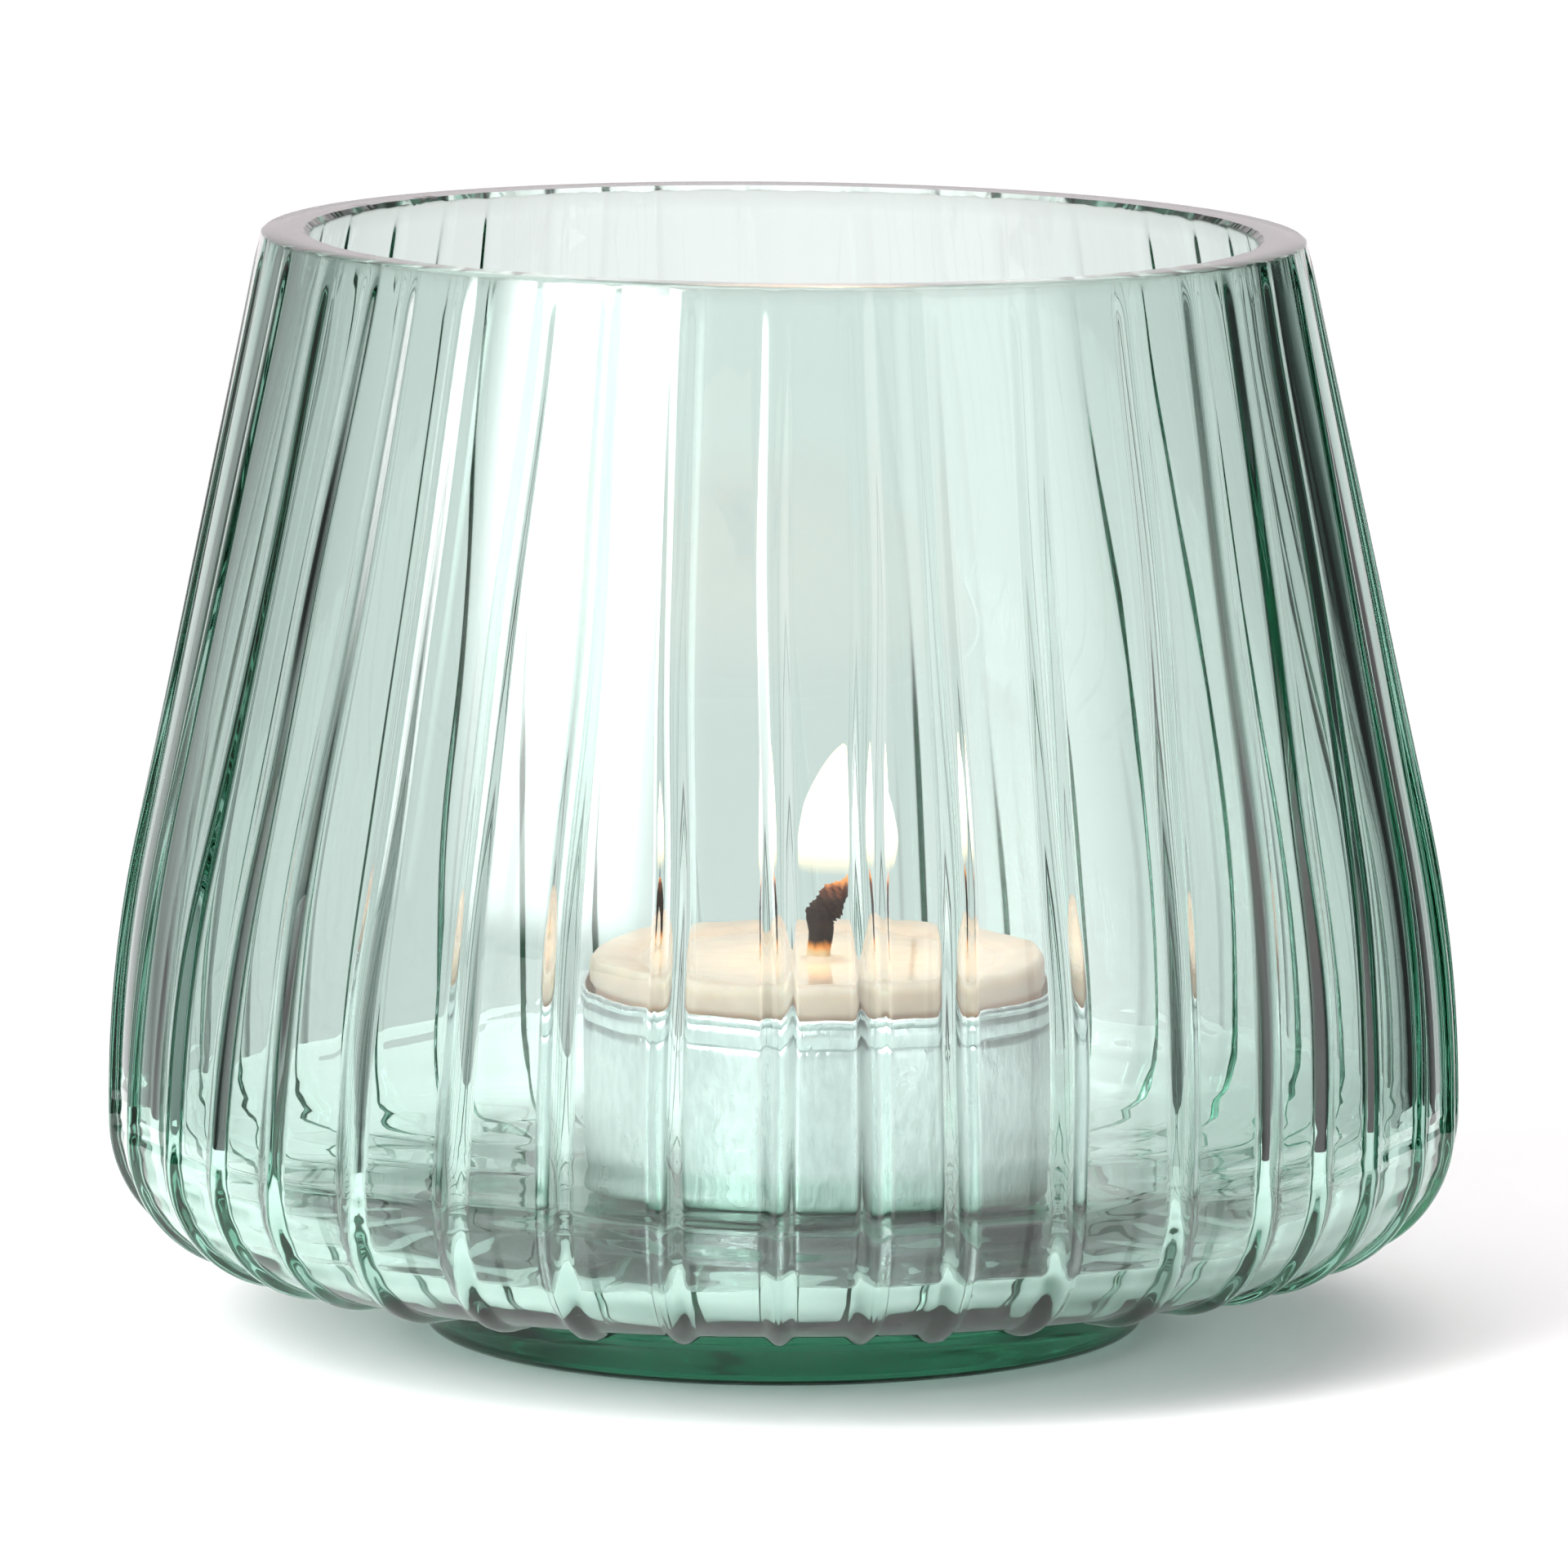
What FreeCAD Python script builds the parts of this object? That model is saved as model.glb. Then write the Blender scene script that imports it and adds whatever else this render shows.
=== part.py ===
import FreeCAD, Part
import math
import os

# Ribbed glass tealight holder with a standard tealight standing in it.
# Millimetres. The origin is the centre of the foot's underside, +Z is up and -Y is the front.
# Every outline is drawn as (radius, height) in the XZ half-plane and turned about Z.

# Glass holder: heights
HEIGHT = 85.4               # foot to rim
FLOOR_Z = 10.0              # inside floor, where the tealight stands
BELLY_Z = 17.5              # height of the widest point
CORNER_Z = 16.6             # height of the centre of the lower outside corner
NECK_Z = 5.4                # where the foot meets the underside of the bowl

# Glass holder: radii
WIDEST_CREST = 52.5         # over the rib crests
WIDEST_PANEL = 51.85        # over the plain glass between the ribs
WIDEST_INSIDE = 48.45
RIM_CREST = 40.4
RIM_PANEL = 40.1
RIM_INSIDE = 36.5
BELLY_ARC = 110.7           # long upright arc of the crest line; the other two lines share its centre height
CORNER_ARC = 10.6           # lower outside corner, over the crests
FOOT_NECK = 28.8
FOOT_WAIST = 28.1
FOOT_EDGE = 28.0
FOOT_ROUND = 1.0

# Ground rim
RIM_FLAT_RADIUS = 39.95     # outer edge of the flat top face
RIM_BEVEL = (1.05, 0.95)    # how far the outside bevel runs out and down
RIM_INNER_BEVEL = 0.25

# Ribs
RIB_COUNT = 40
RIB_ROUND = 1.6             # radius of a rib's round section
RIB_END_RADIUS = 33.0       # the ribs run under the bowl and sink into it here
RIB_SHIFT = -2.35           # degrees
RIB_DRIFT = ((0.55, 3, 116.0), (1.2, 7, 154.0), (0.75, 10, 30.0))   # degrees, waves round the bowl, phase

# Tealight: it stands a little off centre
TEALIGHT_X = 2.8
CUP_HEIGHT = 16.8
CUP_WALL = 0.3
CUP_BASE_RADIUS = 18.2
CUP_TOP_RADIUS = 18.75
CUP_CORNER = 1.2
BAND_RADIUS = 19.15         # rolled band round the cup's mouth
BAND_HEIGHT = 2.3
WAX_GAP = 0.2               # clear space between wax and cup
WAX_TOP_RADIUS = 17.85      # where it stands above the cup
WAX_SHOULDER_Z = 19.2       # above the cup's underside
WAX_ROUND = 1.6
POOL_RADIUS = 13.8
POOL_BANK_RADIUS = 15.0
POOL_Z = 18.1

# Wick and its metal foot
WICK_RADIUS = 0.95
WICK_GAP = 0.05
WICK_BEND_Z = 20.6          # above the cup's underside; the charred end bends over from here
WICK_BEND_ARC = 4.7
WICK_BEND_DEGREES = 66.0
SUSTAINER_RADIUS = 6.0
SUSTAINER_PLATE = 0.3
COLLAR_RADIUS = 1.4
COLLAR_HEIGHT = 2.8
SUSTAINER_GAP = 0.1

UP = FreeCAD.Vector(0, 0, 1)
ORIGIN = FreeCAD.Vector(0, 0, 0)


def at(radius, height):
    """A point of an outline."""
    return FreeCAD.Vector(radius, 0, height)


def line(start, end):
    """Straight edge between two (radius, height) points."""
    return Part.LineSegment(at(*start), at(*end)).toShape()


def arc(start, middle, end):
    """Round edge through three (radius, height) points."""
    return Part.Arc(at(*start), at(*middle), at(*end)).toShape()


def round_edge(centre, radius, first_degrees, last_degrees):
    """Arc about a centre, from one angle to another; 0 degrees points outwards and 90 up."""
    points = []
    for degrees in (first_degrees, (first_degrees + last_degrees) / 2.0, last_degrees):
        turn = math.radians(degrees)
        points.append((centre[0] + radius * math.cos(turn), centre[1] + radius * math.sin(turn)))
    return arc(*points)


def polyline(points):
    """Straight edges through a list of points."""
    return [line(a, b) for a, b in zip(points, points[1:])]


def turned(edges):
    """Solid made by turning a closed outline about Z."""
    face = Part.Face(Part.Wire(edges))
    return face.revolve(ORIGIN, UP, 360)


def cone_angle(widest, rim, belly_arc):
    """Degrees by which the straight upper wall leans in, tangent to the belly arc."""
    across = rim - (widest - belly_arc)
    up = HEIGHT - BELLY_Z
    to_rim = math.atan2(up, across)
    return math.degrees(to_rim - math.acos(belly_arc / math.hypot(across, up)))


def end_of(edge, index):
    """(radius, height) of an edge's first or last vertex."""
    point = edge.Vertexes[index].Point
    return (point.x, point.z)


def bowl_side(widest, rim, belly_arc):
    """The straight upper wall and the belly arc below it, from the rim down to the widest point."""
    lean = cone_angle(widest, rim, belly_arc)
    belly = round_edge((widest - belly_arc, BELLY_Z), belly_arc, lean, 0.0)
    return [line((rim, HEIGHT), end_of(belly, 0)), belly]


def plain_bowl():
    """The holder without its ribs, solid to the axis."""
    corner_radius = WIDEST_PANEL - (WIDEST_CREST - CORNER_ARC)
    corner_centre = (WIDEST_CREST - CORNER_ARC, CORNER_Z)
    side = bowl_side(WIDEST_PANEL, RIM_PANEL, BELLY_ARC - (WIDEST_CREST - WIDEST_PANEL))
    corner = round_edge(corner_centre, corner_radius, 0.0, -90.0)
    neck = (FOOT_NECK, NECK_Z)
    edge_top = (FOOT_EDGE, FOOT_ROUND)
    foot_side = arc(neck, (FOOT_WAIST, (NECK_Z + FOOT_ROUND) / 2.0), edge_top)
    foot_round = round_edge((FOOT_EDGE - FOOT_ROUND, FOOT_ROUND), FOOT_ROUND, 0.0, -90.0)
    foot_inner = (FOOT_EDGE - FOOT_ROUND, 0.0)
    edges = side + [line(end_of(side[1], 1), end_of(corner, 0)), corner]
    edges += [line(end_of(corner, 1), neck), foot_side, foot_round]
    edges += polyline([foot_inner, (0.0, 0.0), (0.0, HEIGHT), (RIM_PANEL, HEIGHT)])
    return turned(edges)


def rib_path():
    """Centre line of one rib: down the wall, round the lower corner and in under the bowl."""
    lean = math.radians(cone_angle(WIDEST_CREST, RIM_CREST, BELLY_ARC))
    belly_centre = (WIDEST_CREST - BELLY_ARC, BELLY_Z)
    corner_centre = (WIDEST_CREST - CORNER_ARC, CORNER_Z)
    belly = round_edge(belly_centre, BELLY_ARC - RIB_ROUND, math.degrees(lean), 0.0)
    corner = round_edge(corner_centre, CORNER_ARC - RIB_ROUND, 0.0, -90.0)
    over_rim = HEIGHT + RIB_ROUND
    belly_top = end_of(belly, 0)
    top = (belly_top[0] - (over_rim - belly_top[1]) * math.tan(lean), over_rim)
    inner_end = (RIB_END_RADIUS, end_of(corner, 1)[1])
    edges = [line(top, belly_top), belly]
    edges += [line(end_of(belly, 1), end_of(corner, 0)), corner]
    edges += [line(end_of(corner, 1), inner_end)]
    return Part.Wire(edges)


def rib():
    """One round rib, swept along its centre line in the XZ half-plane."""
    path = rib_path()
    start = path.Edges[0]
    along = start.tangentAt(start.FirstParameter)
    circle = Part.Circle(start.Vertexes[0].Point, along, RIB_ROUND).toShape()
    return path.makePipe(Part.Face(Part.Wire([circle])))


def rib_angle(index):
    """Degrees from the front, positive to the right; the hand-cut mould spaces the ribs unevenly."""
    angle = index * 360.0 / RIB_COUNT + RIB_SHIFT
    for size, waves, phase in RIB_DRIFT:
        angle += size * math.sin(math.radians(index * waves * 360.0 / RIB_COUNT + phase))
    return angle


def bowl_cavity():
    """The space inside the bowl, open over the rim."""
    corner_radius = BELLY_Z - FLOOR_Z
    side = bowl_side(WIDEST_INSIDE, RIM_INSIDE, BELLY_ARC - (WIDEST_CREST - WIDEST_INSIDE))
    corner = round_edge((WIDEST_INSIDE - corner_radius, BELLY_Z), corner_radius, 0.0, -90.0)
    edges = side + [corner, line(end_of(corner, 1), (0.0, FLOOR_Z))]
    over_rim = HEIGHT + RIM_INNER_BEVEL
    edges += polyline([(0.0, FLOOR_Z), (0.0, over_rim), (RIM_INSIDE, over_rim), (RIM_INSIDE, HEIGHT)])
    return turned(edges)


def inner_bevel():
    """Ring cut from the inner edge of the rim."""
    low = HEIGHT - RIM_INNER_BEVEL
    points = [(RIM_INSIDE - 1.0, low - 1.0), (RIM_INSIDE + RIM_INNER_BEVEL + 1.0, HEIGHT + 1.0)]
    points += [(RIM_INSIDE - 1.0, HEIGHT + 1.0)]
    return turned(polyline(points + points[:1]))


def rim_trim():
    """Ring that grinds the rib ends flat and bevels the outer edge of the rim."""
    out, down = RIM_BEVEL
    flat_edge = (RIM_FLAT_RADIUS, HEIGHT)
    low_edge = (RIM_FLAT_RADIUS + 2.0 * out, HEIGHT - 2.0 * down)
    clear_radius = low_edge[0]
    clear_z = HEIGHT + 3.0 * RIB_ROUND
    points = [flat_edge, low_edge, (clear_radius, clear_z), (0.0, clear_z), (0.0, HEIGHT), flat_edge]
    return turned(polyline(points))


def glass_holder():
    """Bowl, ribs and foot: one piece of glass."""
    one_rib = rib()
    ribs = []
    for index in range(RIB_COUNT):
        copy = one_rib.copy()
        copy.rotate(ORIGIN, UP, rib_angle(index) - 90.0)
        ribs.append(copy)
    glass = plain_bowl().multiFuse(ribs)
    glass = glass.cut(rim_trim())
    glass = glass.cut(bowl_cavity())
    return glass.cut(inner_bevel())


def tealight_cup():
    """Thin cup with a rounded lower corner and a rolled band round its mouth."""
    band_low = CUP_HEIGHT - BAND_HEIGHT
    inner_top = CUP_TOP_RADIUS - CUP_WALL
    inner_base = CUP_BASE_RADIUS - CUP_WALL
    inner_corner = CUP_CORNER - CUP_WALL
    lip = (BAND_RADIUS - inner_top) / 2.0
    outer_round = round_edge((CUP_BASE_RADIUS - CUP_CORNER, CUP_CORNER), CUP_CORNER, -90.0, 0.0)
    inner_round = round_edge((inner_base - inner_corner, CUP_CORNER), inner_corner, 0.0, -90.0)
    lip_z = CUP_HEIGHT - lip
    lip_round = arc((BAND_RADIUS, lip_z), (BAND_RADIUS - lip, CUP_HEIGHT), (inner_top, lip_z))
    edges = [line((0.0, 0.0), end_of(outer_round, 0)), outer_round]
    edges += polyline([(CUP_BASE_RADIUS, CUP_CORNER), (CUP_TOP_RADIUS, band_low), (BAND_RADIUS, band_low)])
    edges += [line((BAND_RADIUS, band_low), (BAND_RADIUS, lip_z)), lip_round]
    edges += [line((inner_top, lip_z), (inner_base, CUP_CORNER)), inner_round]
    edges += polyline([(inner_base - inner_corner, CUP_WALL), (0.0, CUP_WALL), (0.0, 0.0)])
    return turned(edges)


def wax_body():
    """Paraffin block with a melted pool on top, bored for the wick and recessed for its metal foot."""
    base_radius = CUP_BASE_RADIUS - CUP_WALL - WAX_GAP
    side_radius = CUP_TOP_RADIUS - CUP_WALL - WAX_GAP
    corner = CUP_CORNER - CUP_WALL
    base_round = round_edge((base_radius - corner, CUP_CORNER), corner, -90.0, 0.0)
    shoulder_centre = (WAX_TOP_RADIUS - WAX_ROUND, WAX_SHOULDER_Z - WAX_ROUND)
    shoulder = round_edge(shoulder_centre, WAX_ROUND, 0.0, 90.0)
    edges = [line((0.0, CUP_WALL), end_of(base_round, 0)), base_round]
    edges += polyline([end_of(base_round, 1), (side_radius, CUP_HEIGHT), (WAX_TOP_RADIUS, CUP_HEIGHT)])
    edges += [line((WAX_TOP_RADIUS, CUP_HEIGHT), end_of(shoulder, 0)), shoulder]
    edges += polyline([end_of(shoulder, 1), (POOL_BANK_RADIUS, WAX_SHOULDER_Z), (POOL_RADIUS, POOL_Z)])
    edges += polyline([(POOL_RADIUS, POOL_Z), (0.0, POOL_Z), (0.0, CUP_WALL)])
    wax = turned(edges)
    plate_top = CUP_WALL + SUSTAINER_PLATE
    plate_space = disc(SUSTAINER_RADIUS + SUSTAINER_GAP, 0.0, plate_top + SUSTAINER_GAP)
    collar_space = disc(COLLAR_RADIUS + SUSTAINER_GAP, 0.0, plate_top + COLLAR_HEIGHT + SUSTAINER_GAP)
    wick_bore = disc(WICK_RADIUS + WICK_GAP, 0.0, CUP_HEIGHT + BAND_HEIGHT)
    return wax.cut(plate_space).cut(collar_space).cut(wick_bore)


def disc(radius, low, high):
    """Upright cylinder on the tealight's axis between two heights."""
    return Part.makeCylinder(radius, high - low, FreeCAD.Vector(0, 0, low), UP)


def wick_sustainer():
    """Flat metal disc with a crimped collar that holds the wick upright."""
    plate_top = CUP_WALL + SUSTAINER_PLATE
    plate = disc(SUSTAINER_RADIUS, CUP_WALL, plate_top)
    collar = disc(COLLAR_RADIUS, plate_top, plate_top + COLLAR_HEIGHT)
    bore = disc(WICK_RADIUS + WICK_GAP, plate_top, plate_top + COLLAR_HEIGHT)
    return plate.fuse(collar).cut(bore).removeSplitter()


def wick():
    """Round wick, upright through the wax, with its burnt end bent over to the right."""
    base = (0.0, CUP_WALL + SUSTAINER_PLATE)
    bend_start = (0.0, WICK_BEND_Z)
    bend_centre = (WICK_BEND_ARC, WICK_BEND_Z)
    bend = round_edge(bend_centre, WICK_BEND_ARC, 180.0, 180.0 - WICK_BEND_DEGREES)
    path = Part.Wire([line(base, bend_start), bend])
    circle = Part.Circle(at(*base), UP, WICK_RADIUS).toShape()
    return path.makePipe(Part.Face(Part.Wire([circle])))


def in_place(shape):
    """Stand a piece of the tealight on the holder's floor."""
    moved = shape.copy()
    moved.translate(FreeCAD.Vector(TEALIGHT_X, 0, FLOOR_Z))
    return moved


def single_solid(shape):
    """The shape's one solid, or a plain message that it isn't one."""
    if len(shape.Solids) != 1:
        raise ValueError("expected one solid, got %d" % len(shape.Solids))
    return shape.Solids[0]


def build():
    """Every node of the model by name."""
    nodes = {"glass_holder": glass_holder()}
    for make in (tealight_cup, wax_body, wick, wick_sustainer):
        nodes[make.__name__] = in_place(make())
    return nodes


os.makedirs("parts", exist_ok=True)
for name, shape in build().items():
    solid = single_solid(shape)
    box = solid.BoundBox
    print(name, "valid" if solid.isValid() else "INVALID", "volume %.1f mm3" % solid.Volume,
          "x %.2f to %.2f, z %.2f to %.2f" % (box.XMin, box.XMax, box.ZMin, box.ZMax))
    solid.exportStep("parts/%s.step" % name)
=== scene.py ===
import bpy
import math
import numpy as np
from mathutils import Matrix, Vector


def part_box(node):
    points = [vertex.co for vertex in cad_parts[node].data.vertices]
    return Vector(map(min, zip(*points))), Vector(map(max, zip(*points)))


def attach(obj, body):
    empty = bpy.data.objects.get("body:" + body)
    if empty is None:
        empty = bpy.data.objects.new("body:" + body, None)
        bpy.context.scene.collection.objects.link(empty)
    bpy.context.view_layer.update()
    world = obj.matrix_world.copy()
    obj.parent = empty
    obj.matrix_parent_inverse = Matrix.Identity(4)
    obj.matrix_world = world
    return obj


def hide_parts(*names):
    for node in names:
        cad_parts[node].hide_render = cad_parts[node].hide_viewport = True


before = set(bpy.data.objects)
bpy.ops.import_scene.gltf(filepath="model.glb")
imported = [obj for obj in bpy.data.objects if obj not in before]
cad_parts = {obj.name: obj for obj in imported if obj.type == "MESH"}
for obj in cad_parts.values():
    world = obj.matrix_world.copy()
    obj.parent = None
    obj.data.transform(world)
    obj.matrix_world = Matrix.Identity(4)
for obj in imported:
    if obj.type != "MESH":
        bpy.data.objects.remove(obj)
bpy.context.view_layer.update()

# Sizes are in millimetres and become metres in make_lathe. Those that the frame has come from the frame.
MM = 0.001
HOLDER_LOW, HOLDER_HIGH = (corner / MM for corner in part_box("glass_holder"))
CUP_LOW, CUP_HIGH = (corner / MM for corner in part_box("tealight_cup"))
WAX_LOW, WAX_HIGH = (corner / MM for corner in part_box("wax_body"))

HEIGHT = HOLDER_HIGH.z
WIDEST_CREST = (HOLDER_HIGH.x - HOLDER_LOW.x) / 2.0
FLOOR_Z = CUP_LOW.z
TEALIGHT_X = (CUP_LOW.x + CUP_HIGH.x) / 2.0
CUP_HEIGHT = CUP_HIGH.z - CUP_LOW.z
CUP_RADIUS = (CUP_HIGH.x - CUP_LOW.x) / 2.0
WAX_TOP = WAX_HIGH.z - CUP_LOW.z
WAX_RADIUS = (WAX_HIGH.x - WAX_LOW.x) / 2.0

# Glass holder
PANEL_DEPTH = 0.65          # plain glass lies this far inside the rib crests at the widest point
WALL = 4.05                 # crest to inside
RIM_CREST = 40.4
RIM_PANEL = 40.1
RIM_INSIDE = 36.5
BELLY_ARC = 110.7
BELLY_Z = 17.5
CORNER_ARC = 10.6
CORNER_Z = 16.6
FOOT_NECK = 28.8
FOOT_WAIST = 28.1
FOOT_EDGE = 28.0
FOOT_ROUND = 1.0
NECK_Z = 5.4
RIB_FADE_RADIUS = 32.0
RIM_FLAT_RADIUS = 39.95
RIM_BEVEL = (1.05, 0.95)
RIM_TILT = 0.011            # the hand-ground rim falls this much per millimetre towards +X

# Ribs
RIB_COUNT = 40
RIB_PITCH = 360.0 / RIB_COUNT
RIB_HALF_ANGLE = 1.55
RIB_SHIFT = -1.85           # degrees that all the ribs are turned by
# Uneven spacing: size in degrees, waves round, phase in degrees
RIB_DRIFT = ((0.55, 3, 116.0), (1.2, 7, 154.0), (0.75, 10, 30.0))
# Columns of points across a rib, in half widths from its crest
RIB_STEPS = (-1.15, -0.97, -0.85, -0.7, -0.5, -0.25, 0.0, 0.25, 0.5, 0.7, 0.85, 0.97, 1.15)
PANEL_STEPS = 6             # columns between two ribs
OFF_RIB = 2.0               # place of a column that is on no rib

# Rows of points down the outside
CONE_ROWS = 40
BELLY_ROWS = 34
CORNER_ROWS = 44
UNDER_ROWS = 16

# Unevenness of the glass, as terms for waves()
OUTSIDE_WAVES = ((0.04, 7, 1.1, 0.4), (0.012, 13, -1.6, 1.9), (0.002, 31, 2.4, 0.3))
INSIDE_WAVES = ((0.06, 5, 0.9, 0.2), (0.018, 11, -1.2, 2.6), (0.004, 23, 1.7, 1.1))
FLOOR_SWIRL = ((0.09, 4, 9.0, 0.5), (0.06, 9, -15.0, 1.2), (0.035, 17, 24.0, 2.0))
FLOOR_SWIRL_DROP = 0.19     # keeps the swirl below the cup's underside
FINE_CHIPS = ((0.05, 97, 0.0, 0.0), (0.05, 151, 0.0, 1.0), (0.04, 211, 0.0, 2.0))
BROAD_CHIPS = ((0.10, 23, 0.0, 0.5), (0.10, 41, 0.0, 1.5))


# ---------------------------------------------------------------- meshes

def make_lathe(name, rows, low_pole, high_pole, sharp_degrees=40.0):
    """Closed mesh from rows of points in millimetres (row, column, xyz), with a pole point at each end."""
    rows = np.asarray(rows, float)
    row_count, column_count = rows.shape[:2]
    points = np.vstack([rows.reshape(-1, 3), [low_pole], [high_pole]]) * MM
    low_index = row_count * column_count
    high_index = low_index + 1
    column = np.arange(column_count)
    following = (column + 1) % column_count
    faces = []
    for row in range(row_count - 1):
        base = row * column_count
        above = base + column_count
        quads = np.stack([base + column, base + following, above + following, above + column], 1)
        faces.extend(quads.tolist())
    top = (row_count - 1) * column_count
    faces.extend(np.stack([np.full(column_count, low_index), following, column], 1).tolist())
    faces.extend(np.stack([np.full(column_count, high_index), top + column, top + following], 1).tolist())
    mesh = bpy.data.meshes.new(name)
    mesh.from_pydata(points.tolist(), [], faces)
    mesh.shade_smooth()
    mesh.set_sharp_from_angle(angle=math.radians(sharp_degrees))
    piece = bpy.data.objects.new(name, mesh)
    bpy.context.scene.collection.objects.link(piece)
    return piece


def turned_rows(radii, heights, angles, centre_x=0.0):
    """Points (row, column, xyz) from radii, heights and angles; 0 degrees is the front, + the right."""
    radii, heights, angles = np.broadcast_arrays(radii, heights, angles)
    turn = np.radians(angles)
    return np.stack([centre_x + radii * np.sin(turn), -radii * np.cos(turn), heights], -1)


def even_angles(count):
    return np.arange(count) * 360.0 / count


def smooth_step(low, high, value):
    """0 below low, 1 above high, smooth between."""
    t = np.clip((value - low) / (high - low), 0.0, 1.0)
    return t * t * (3.0 - 2.0 * t)


def waves(angles, heights, terms):
    """Sum of smooth waves: each term is (size, waves round, waves per 100 mm of height, phase)."""
    total = 0.0
    for size, around, upward, phase in terms:
        turn = np.radians(angles * around) + heights * upward * 0.02 * math.pi + phase
        total = total + size * np.sin(turn)
    return total


def arc_points(centre, radius, first_degrees, last_degrees, count):
    """Radii and heights along an arc; 0 degrees points outwards and 90 up."""
    turn = np.radians(np.linspace(first_degrees, last_degrees, count))
    return centre[0] + radius * np.cos(turn), centre[1] + radius * np.sin(turn)


def line_points(start, end, count):
    return np.linspace(start[0], end[0], count), np.linspace(start[1], end[1], count)


def joined(*stretches):
    """One outline from stretches of (radii, heights), without the points they share."""
    radii = [stretches[0][0]] + [s[0][1:] for s in stretches[1:]]
    heights = [stretches[0][1]] + [s[1][1:] for s in stretches[1:]]
    return np.concatenate(radii), np.concatenate(heights)


# ---------------------------------------------------------------- glass holder

def cone_angle(widest, rim, belly_arc):
    """Degrees by which the straight upper wall leans in."""
    across = rim - (widest - belly_arc)
    up = HEIGHT - BELLY_Z
    return math.degrees(math.atan2(up, across) - math.acos(belly_arc / math.hypot(across, up)))


def side_outline(depth, rim, cone_count, belly_count):
    """Upper wall and belly, from the rim down to the widest point, a given depth inside the crest line."""
    widest = WIDEST_CREST - depth
    belly_arc = BELLY_ARC - depth
    lean = cone_angle(widest, rim, belly_arc)
    belly = arc_points((widest - belly_arc, BELLY_Z), belly_arc, lean, 0.0, belly_count)
    cone = line_points((rim, HEIGHT), (belly[0][0], belly[1][0]), cone_count)
    return joined(cone, belly)


def outside_outline(depth, rim, under_drop):
    """Rim to neck along the outside; under_drop lowers the start of the underside, for the rib crests."""
    corner_centre = (WIDEST_CREST - CORNER_ARC, CORNER_Z)
    corner_radius = CORNER_ARC - depth
    side = side_outline(depth, rim, CONE_ROWS, BELLY_ROWS)
    upright = line_points((WIDEST_CREST - depth, BELLY_Z), (WIDEST_CREST - depth, CORNER_Z), 4)
    corner = arc_points(corner_centre, corner_radius, 0.0, -90.0, CORNER_ROWS)
    end = (corner[0][-1], corner[1][-1])
    under_radii = np.linspace(end[0], FOOT_NECK, UNDER_ROWS)
    panel_start = CORNER_Z - (CORNER_ARC - PANEL_DEPTH)
    share = (under_radii - FOOT_NECK) / (end[0] - FOOT_NECK)
    under = NECK_Z + (panel_start - NECK_Z) * share
    under = under - under_drop * smooth_step(RIB_FADE_RADIUS, end[0], under_radii)
    return joined(side, upright, corner, (under_radii, under))


def rib_angle(index):
    """Degrees from the front at the widest point; the ribs are unevenly spaced."""
    angle = index * RIB_PITCH + RIB_SHIFT
    for size, around, phase in RIB_DRIFT:
        angle = angle + size * np.sin(np.radians(index * around * RIB_PITCH + phase))
    return angle


def rib_lean(index, height):
    """Degrees by which a rib strays from upright above the widest point."""
    rise = np.clip((height - BELLY_Z) / (HEIGHT - BELLY_Z), 0.0, 1.0)
    lean = 2.5 - 3.0 * np.cos(np.radians(index * 3 * RIB_PITCH)) + 0.8 * np.sin(index * 1.9)
    meander = 0.45 * np.sin(rise * 7.0 + index * 2.4) + 0.12 * np.sin(rise * 15.0 + index * 4.1)
    return lean * rise + meander * smooth_step(0.0, 0.35, rise) * (1.0 - 0.4 * rise)


def rib_columns():
    """For each column: the rib to its left, its share of the way to the next, and its place on a rib."""
    index, share, place = [], [], []
    for rib in range(RIB_COUNT):
        here, following = rib_angle(rib), rib_angle(rib + 1)
        gap = following - here
        for step in RIB_STEPS:
            offset = step * RIB_HALF_ANGLE
            index.append(rib if offset >= 0 else rib - 1)
            share.append(offset / gap if offset >= 0 else 1.0 + offset / (here - rib_angle(rib - 1)))
            place.append(step)
        first = RIB_STEPS[-1] * RIB_HALF_ANGLE / gap
        last = 1.0 + RIB_STEPS[0] * RIB_HALF_ANGLE / gap
        for step in range(1, PANEL_STEPS + 1):
            index.append(rib)
            share.append(first + (last - first) * step / (PANEL_STEPS + 1))
            place.append(OFF_RIB)
    return np.array(index, float), np.array(share), np.array(place)


def column_angles(index, share, heights):
    """Angle of every column at each height: columns follow the ribs on both sides."""
    left = rib_angle(index) + rib_lean(index, heights)
    right = rib_angle(index + 1) + rib_lean(index + 1, heights)
    return left + (right - left) * share


def rib_section(place):
    """Height of a rib across its width, 0 to 1, round on top with tight hollows at its sides."""
    return np.clip(1.0 - place * place, 0.0, 1.0) ** 1.5


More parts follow.
